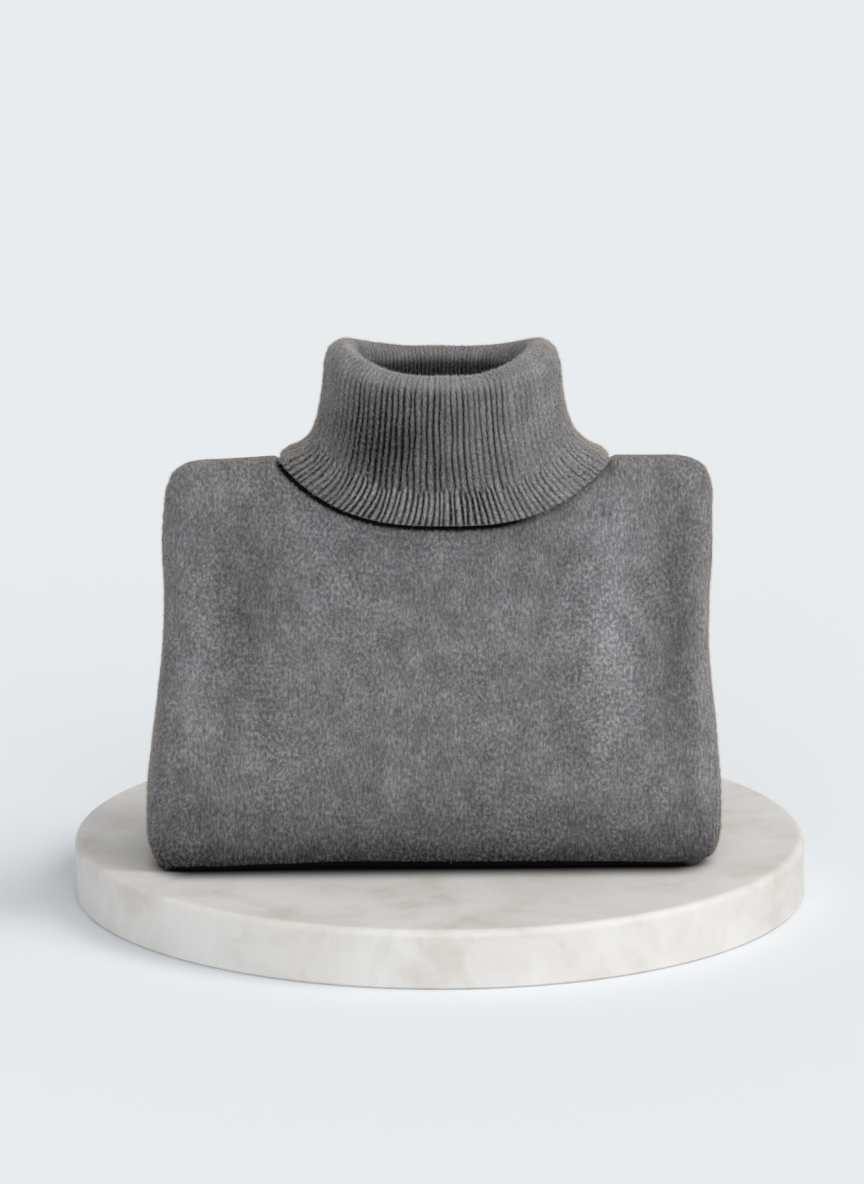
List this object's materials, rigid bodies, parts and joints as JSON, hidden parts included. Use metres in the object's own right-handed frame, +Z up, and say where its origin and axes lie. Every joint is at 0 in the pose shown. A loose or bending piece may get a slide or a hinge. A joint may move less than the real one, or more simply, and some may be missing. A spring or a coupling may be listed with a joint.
{
  "type": "folded turtleneck sweater on a round marble display stand",
  "caption": "Grey wool turtleneck sweater folded and standing upright, its ribbed roll collar standing open, on a round marble disc.",
  "frame": {"origin": "bottom centre of the whole part: the centre of the marble disc's flat underside", "axes": "+Z up; -Y is the way the sweater's front faces; +X is to the right for someone looking at that front"},
  "size_m": [0.5, 0.5, 0.393],
  "materials": {
    "wool_jersey": "matte",
    "wool_rib": "matte",
    "honed_marble": "satin"
  },
  "bodies": {
    "root": {"display_stand": "honed_marble", "front_panel": "wool_jersey", "back_panel": "wool_jersey", "sleeve_left": "wool_jersey", "sleeve_right": "wool_jersey", "folded_layers": "wool_jersey", "hem_rib": "wool_rib", "collar": "wool_rib"}
  },
  "joints": []
}
